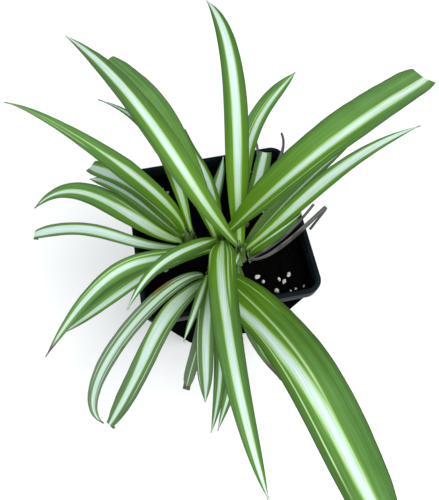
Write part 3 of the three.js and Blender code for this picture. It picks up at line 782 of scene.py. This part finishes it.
def leaf_pieces(living, withered):
    ranks = ranks_on_crowns()
    for number, (name, row) in enumerate(LEAVES.items()):
        stations = leaf_stations(row, ranks[name])
        blade_piece(name + "_blade", stations, LOOKS[name], number, living, name)
    look = {**PLAIN, "wave": SHRIVELLED.wave}
    for number, (name, row) in enumerate(WITHERED.items(), SHRIVELLED.number):
        stations = leaf_stations(row, ranks[name])
        shrunk = stations["halves"] * SHRIVELLED.breadth
        stations["halves"] = np.maximum(shrunk, SHRIVELLED.least_half)
        stations["lifts"] *= SHRIVELLED.channel
        blade_piece(name + "_blade", stations, look, number, withered, name)


leaf_look = leaf_material()
leaf_pieces(leaf_look, withered_material())

# ---- crowns

# A crown's core: points round it, how far its top lies below the crown's, its radius as a share of the
# crown's in the soil and above it, and how it closes: length, power, share lost, flatness
CORE = Sizes(points=40, below=7, buried=0.93, share=0.62, closing=6, power=1.6, lost=0.93, flat=0.45,
             seed=300)
# The folded young leaves in a crown's heart: distance below its top, lean, turn in degrees, half width
SPEARS = ((1.5, 1.2, 40, 1.7), (5, 2.2, 160, 2.1), (8, 2.6, 285, 2.3))
# What they share: foot over the soil, distance from the axis, share of the width lost at the tip, breadth
# and channel as shares of the half width, turn from crown to crown, first number, numbers kept for a crown
SPEAR = Sizes(stations=16, foot=4.0, off_axis=0.6, narrowed=0.86, half=0.62, channel=0.8, turn=97, number=70,
              stride=5)
SPEAR_LOOK = marks((0, 0, 0.3), (1, 0, 0.3), light=0.6)


def crown_core(name, number, material):
    """A stub of tightly wrapped leaf bases that closes in a blunt fold."""
    x, y, top = CROWNS[name]
    top += POT.height - CORE.below
    count = CORE.points
    heights = np.r_[CROWN.foot, np.linspace(SOIL.top - 6, top - 5, 22), np.linspace(top - 4.2, top, 10)]
    angles = np.linspace(0, 2 * math.pi, count, endpoint=False)
    phase = np.random.default_rng(CORE.seed + number).uniform(0, 6.28, 3)
    turn_x, turn_y = math.cos(phase[2]), math.sin(phase[2])
    rings = []
    for z in heights:
        if z < SOIL.top:
            risen = (z - CROWN.foot) / (SOIL.top - CROWN.foot)
            radius = CROWN.foot_radius + (CROWN.soil_radius - CROWN.foot_radius) * risen
        else:
            radius = crown_radius(z)
        above = min(1.0, max(0.0, (z - SOIL.top + 4) / 8))
        closing = max(0.0, (z - (top - CORE.closing)) / CORE.closing)
        share = CORE.buried + (CORE.share - CORE.buried) * above
        radius *= (1 - closing ** CORE.power * CORE.lost) * share
        wrap = 0.06 * np.sin(5 * angles + phase[0] + 0.12 * (z - SOIL.top))
        wrap = wrap + 0.04 * np.sin(9 * angles + phase[1])
        px = radius * (1 + wrap) * np.cos(angles)
        py = radius * (1 + wrap) * np.sin(angles) * (1 - CORE.flat * closing)
        rings.append(vectors(x + px * turn_x - py * turn_y, y + px * turn_y + py * turn_x, z))
    add_piece("crown_%s_core" % name, np.vstack(rings), ring_faces(count, len(heights)), material,
              ["crown_" + name])


def crown_spear(name, number, index):
    """A young leaf, still folded, that stands in the crown's heart."""
    x, y, top = CROWNS[name]
    below, lean, turn, half = SPEARS[index]
    outward = outward_at(turn + SPEAR.turn * number)
    foot = np.array([x, y, SOIL.top + SPEAR.foot]) + outward * SPEAR.off_axis
    tip = np.array([x, y, POT.height + top - below]) + outward * (SPEAR.off_axis + lean)
    rise = np.array([0, 0, (tip - foot)[2] / 3])
    count = SPEAR.stations
    points, length = even_points((foot, foot + rise, tip - rise * 0.9 - outward * lean * 0.2, tip), count)
    share = np.linspace(0, 1, count)
    halves = half * (1 - SPEAR.narrowed * share**2.5)
    stations = dict(points=points, directions=unit(np.gradient(points, axis=0)),
                    headings=np.tile(outward, (count, 1)), halves=halves * SPEAR.half,
                    lifts=halves * SPEAR.channel, curls=np.zeros(count), walked=length * share,
                    along=share * 0.3)
    own_number = SPEAR.number + SPEAR.stride * number + index
    blade_piece("crown_%s_spear_%d" % (name, index), stations, SPEAR_LOOK, own_number, leaf_look,
                "crown_" + name)


def crown_pieces():
    material = crown_material()
    for number, name in enumerate(CROWNS):
        crown_core(name, number, material)
        for index in range(len(SPEARS)):
            crown_spear(name, number, index)


crown_pieces()

# ---- pot

LIP_FOOT = POT.height - POT.lip_depth
POT_SHARP = 40  # degrees
FOOT_ROUND = ((0, 1.0), (0.3, 0.3))  # heights, and how far the pot's foot is set in there
LIP_FOOT_ROUND = 0.3  # of the lip's lower edge
FLOOR_ROUND = 0.8  # where the floor meets the wall inside
LEAST_CORNER = 2.0
DRILL = Sizes(sides=36, depth=8)


def pot_ring(half, z):
    """Points round the pot at height z, whose corners keep the wall's thickness even."""
    return rounded_square(half, max(LEAST_CORNER, pot_corner(z) - (pot_half(z) - half)), z)


def pot_rings():
    """The pot's section from the foot up the outside, over the lip and down the inside to the floor."""
    top, edge, rim = POT.height, POT.lip_edge, POT.rim_half
    inner = pot_half(top) - POT.wall
    rings = [pot_ring(pot_half(0) - inset, z) for z, inset in FOOT_ROUND] + [pot_ring(pot_half(1), 1.0)]
    rings += [pot_ring(pot_half(z), z) for z in np.linspace(4, LIP_FOOT - 0.4, 12)]
    rings += [pot_ring(pot_half(LIP_FOOT) + 0.15, LIP_FOOT - 0.1)]
    rings += [pot_ring(rim - POT.lip_draft - LIP_FOOT_ROUND, LIP_FOOT)]
    rings += [pot_ring(rim - POT.lip_draft, LIP_FOOT + LIP_FOOT_ROUND)]
    rounding = [(rim, -edge, i / 6) for i in range(7)] + [(inner, edge, 1 - i / 4) for i in range(5)]
    for side, inset, share in rounding:
        angle = share * math.pi / 2
        rings.append(pot_ring(side + inset * (1 - math.cos(angle)), top - edge * (1 - math.sin(angle))))
    rings += [pot_ring(pot_half(z) - POT.wall, z) for z in np.linspace(top - 6, POT.floor + 1, 8)]
    return rings + [pot_ring(pot_half(POT.floor) - POT.wall - FLOOR_ROUND, POT.floor)]


def cut_drain(pot, x, y):
    bpy.ops.mesh.primitive_cylinder_add(
        vertices=DRILL.sides, radius=DRAIN.radius * MM, depth=DRILL.depth * MM,
        location=(x * MM, y * MM, 0))
    drill = bpy.context.object
    cut = pot.modifiers.new("drain", "BOOLEAN")
    cut.object = drill
    cut.operation = "DIFFERENCE"
    evaluated = pot.evaluated_get(bpy.context.evaluated_depsgraph_get())
    new_mesh = bpy.data.meshes.new_from_object(evaluated)
    pot.modifiers.clear()
    pot.data = new_mesh
    bpy.data.objects.remove(drill)


def pot_piece():
    rings = pot_rings()
    made = add_piece("pot_body", np.vstack(rings), ring_faces(len(rings[0]), len(rings)), pot_lip_material(),
                     ["pot"], sharp=POT_SHARP)
    for x in (-DRAIN.offset, DRAIN.offset):
        for y in (-DRAIN.offset, DRAIN.offset):
            cut_drain(made, x, y)
    made.data.materials.append(pot_wall_material())
    for polygon in made.data.polygons:
        if polygon.center.z < (LIP_FOOT - 0.05) * MM:
            polygon.material_index = 1
    smooth(made.data, POT_SHARP)


pot_piece()

# ---- soil

LUMPS = ((7.0, 0.5, 21), (3.1, 0.45, 22), (1.4, 0.3, 23))  # breadth, height and seed
SOIL_RINGS = 56
EDGE_RINGS = 5  # those over which the surface rises from its edge
SCATTER_SEED = 7
# Grains: count, least radius, what is drawn on top of it and with what power, how far they are raised as a
# share of the radius, roughness, seed of their shape
CRUMBS = Sizes(count=1500, least=0.35, more=1.0, power=3, raised=0.15, rough=0.22, seed=31)
PERLITE = Sizes(count=60, least=0.4, more=0.9, power=2, raised=0.3, rough=0.2, seed=32)
SEEN_RAISED = 0.35
OPEN_SOIL = (10, -15)  # the seen grains lie to the right of this place and in front of it


def value_noise(x, y, cell, seed):
    """Smooth seeded noise on a grid, for lumps in the soil."""
    size = 64
    table = np.random.default_rng(seed).uniform(-1, 1, (size, size))
    gx, gy = x / cell + 20, y / cell + 20
    ix, iy = np.floor(gx).astype(int), np.floor(gy).astype(int)
    fx, fy = gx - ix, gy - iy
    fx, fy = fx * fx * (3 - 2 * fx), fy * fy * (3 - 2 * fy)
    at = lambda i, j: table[i % size, j % size]
    low = at(ix, iy) * (1 - fx) + at(ix + 1, iy) * fx
    high = at(ix, iy + 1) * (1 - fx) + at(ix + 1, iy + 1) * fx
    return low * (1 - fy) + high * fy


def lumpy(x, y):
    """Height of the lumpy soil over its plain level."""
    total = soil_height(x, y)
    for breadth, height, seed in LUMPS:
        total = total + height * value_noise(x, y, breadth, seed)
    return total


def soil_piece():
    """The soil's body, whose surface is made of rings that close in on the middle."""
    gap = POT.wall + CLEARANCE
    low = POT.floor + CLEARANCE
    edge = SOIL.top - SOIL.edge_drop
    side = lambda z: np.array(rounded_square(pot_half(z) - gap, pot_corner(z) - gap, z, 28))
    rings = [side(low), side(edge - 4), side(edge - 0.6)]
    rim = side(edge)
    for r in range(SOIL_RINGS):
        share = 1 - r / SOIL_RINGS
        ring = rim.copy()
        ring[:, :2] *= share
        settle = min(1.0, r / EDGE_RINGS)
        ring[:, 2] = edge + settle * (SOIL.top - edge) + settle * lumpy(ring[:, 0], ring[:, 1])
        rings.append(ring)
    add_piece("soil_bed", np.vstack(rings), ring_faces(len(rim), len(rings)),
              soil_material("soil_mix", *SOIL_BROWN), ["soil"], sharp=180)


def grain_shape(level):
    made = bmesh.new()
    bmesh.ops.create_icosphere(made, subdivisions=level, radius=1.0)
    points = np.array([v.co[:] for v in made.verts])
    faces = np.array([[v.index for v in f.verts] for f in made.faces])
    made.free()
    return points, faces


def grains_piece(name, grains, level, material, kind):
    """Many rough grains, each given by its place and radius, in one piece."""
    points, faces = grain_shape(level)
    draw = np.random.default_rng(kind.seed)
    all_points, all_faces = [], []
    for i, (x, y, z, radius) in enumerate(grains):
        bumps = 1 + kind.rough * draw.uniform(-1, 1, len(points))
        stretch = draw.uniform(0.65, 1.25, 3)
        spin = np.array(Matrix.Rotation(draw.uniform(0, 6.28), 3, Vector(draw.normal(size=3)).normalized()))
        shaped = (points * bumps[:, None] * stretch) @ spin.T * radius
        all_points.append(shaped + (x, y, z))
        all_faces.append(faces + i * len(points))
    add_piece(name, np.vstack(all_points), np.vstack(all_faces), material, ["soil"], sharp=35)


def clear_of_crowns(x, y, radius):
    return all(math.hypot(x - c[0], y - c[1]) > CROWN.soil_radius + radius for c in CROWNS.values())


def on_soil(x, y, radius, raised):
    """A grain that lies on the soil, raised by a share of its radius."""
    return x, y, SOIL.top + float(lumpy(np.array(x), np.array(y))) + raised * radius, radius


def on_open_soil(x, y):
    return x > OPEN_SOIL[0] and y < OPEN_SOIL[1]


def scattered(grains, kind, draw, reach, kept_free):
    """Adds grains at drawn places, but none where kept_free says so, until the kind's count is reached."""
    while len(grains) < kind.count:
        x, y = draw.uniform(-reach, reach, 2)
        radius = kind.least + kind.more * draw.random() ** kind.power
        if clear_of_crowns(x, y, radius) and not kept_free(x, y):
            grains.append(on_soil(x, y, radius, kind.raised))
    return grains


def loose_pieces():
    draw = np.random.default_rng(SCATTER_SEED)
    reach = pot_half(SOIL.top) - POT.wall - CLEARANCE - 1.5
    crumbs = scattered([], CRUMBS, draw, reach, lambda x, y: False)
    grains_piece("soil_crumbs", crumbs, 1, soil_material("soil_crumb", *CRUMB_BROWN), CRUMBS)
    seen = [on_soil(x, y, radius, SEEN_RAISED) for x, y, radius in SEEN_PERLITE]
    grains = scattered(seen, PERLITE, draw, reach - 1, on_open_soil)
    grains_piece("perlite_grains", grains, 2, perlite_material(), PERLITE)


soil_piece()
loose_pieces()

# ---- floor, light and camera

CAMERA_AT = (-18, -128, POT.height + 241)
CAMERA_TARGET = (-2, -15, POT.height)
CAMERA_ROLL = -0.050
FOCAL_PIXELS = 467
LONG_SIDE = 500  # pixels
SENSOR = 36

# Floor and lights, in metres and watts
FLOOR_SIZE = 6
FLOOR_PALE = (0.93, 0.93, 0.93)
SKY = (0.95, 0.98, 1.0, 1)
SKY_STRENGTH = 0.8
LIT_POINT = (0, 0, 0.12)
# name: place, size and power
LIGHTS = {"key": ((0.45, -0.35, 1.1), 0.9, 8.5), "fill": ((-0.5, -0.8, 0.9), 1.4, 5.5)}


def floor_material():
    g = Graph("studio_floor")
    shade = tuple(c * 0.985 for c in FLOOR_PALE)
    return g.finish(g.mix(g.noise(6, 3), FLOOR_PALE, shade), 0.9, 0.2)


def lay_floor():
    bpy.ops.mesh.primitive_plane_add(size=FLOOR_SIZE, location=(0, 0, 0))
    floor = bpy.context.object
    floor.name = "studio_floor"
    floor.data.materials.append(floor_material())


def light_sky():
    world = bpy.data.worlds.new("studio")
    bpy.context.scene.world = world
    world.use_nodes = True
    background = world.node_tree.nodes["Background"]
    background.inputs["Color"].default_value = SKY
    background.inputs["Strength"].default_value = SKY_STRENGTH


def area_light(name, at, size, power):
    data = bpy.data.lights.new(name, "AREA")
    data.shape = "DISK"
    data.size = size
    data.energy = power
    made = put_in_scene(name, data)
    made.location = at
    made.rotation_euler = (Vector(LIT_POINT) - Vector(at)).to_track_quat("-Z", "Y").to_euler()


def place_camera():
    forward = (Vector(CAMERA_TARGET) - Vector(CAMERA_AT)).normalized()
    right = forward.cross(Vector((0, 0, 1))).normalized()
    upward = right.cross(forward)
    cosine, sine = math.cos(CAMERA_ROLL), math.sin(CAMERA_ROLL)
    rolled_right = cosine * right + sine * upward
    rolled_up = -sine * right + cosine * upward
    lens = bpy.data.cameras.new("camera")
    lens.sensor_width = SENSOR
    lens.lens = FOCAL_PIXELS * SENSOR / LONG_SIDE
    camera = put_in_scene("camera", lens)
    turned = Matrix((rolled_right, rolled_up, -forward)).transposed().to_4x4()
    camera.matrix_world = Matrix.Translation(Vector(CAMERA_AT) * MM) @ turned
    bpy.context.scene.camera = camera


lay_floor()
light_sky()
for light, (place, size, power) in LIGHTS.items():
    area_light(light, place, size, power)
place_camera()
bpy.context.scene.view_settings.view_transform = "Standard"
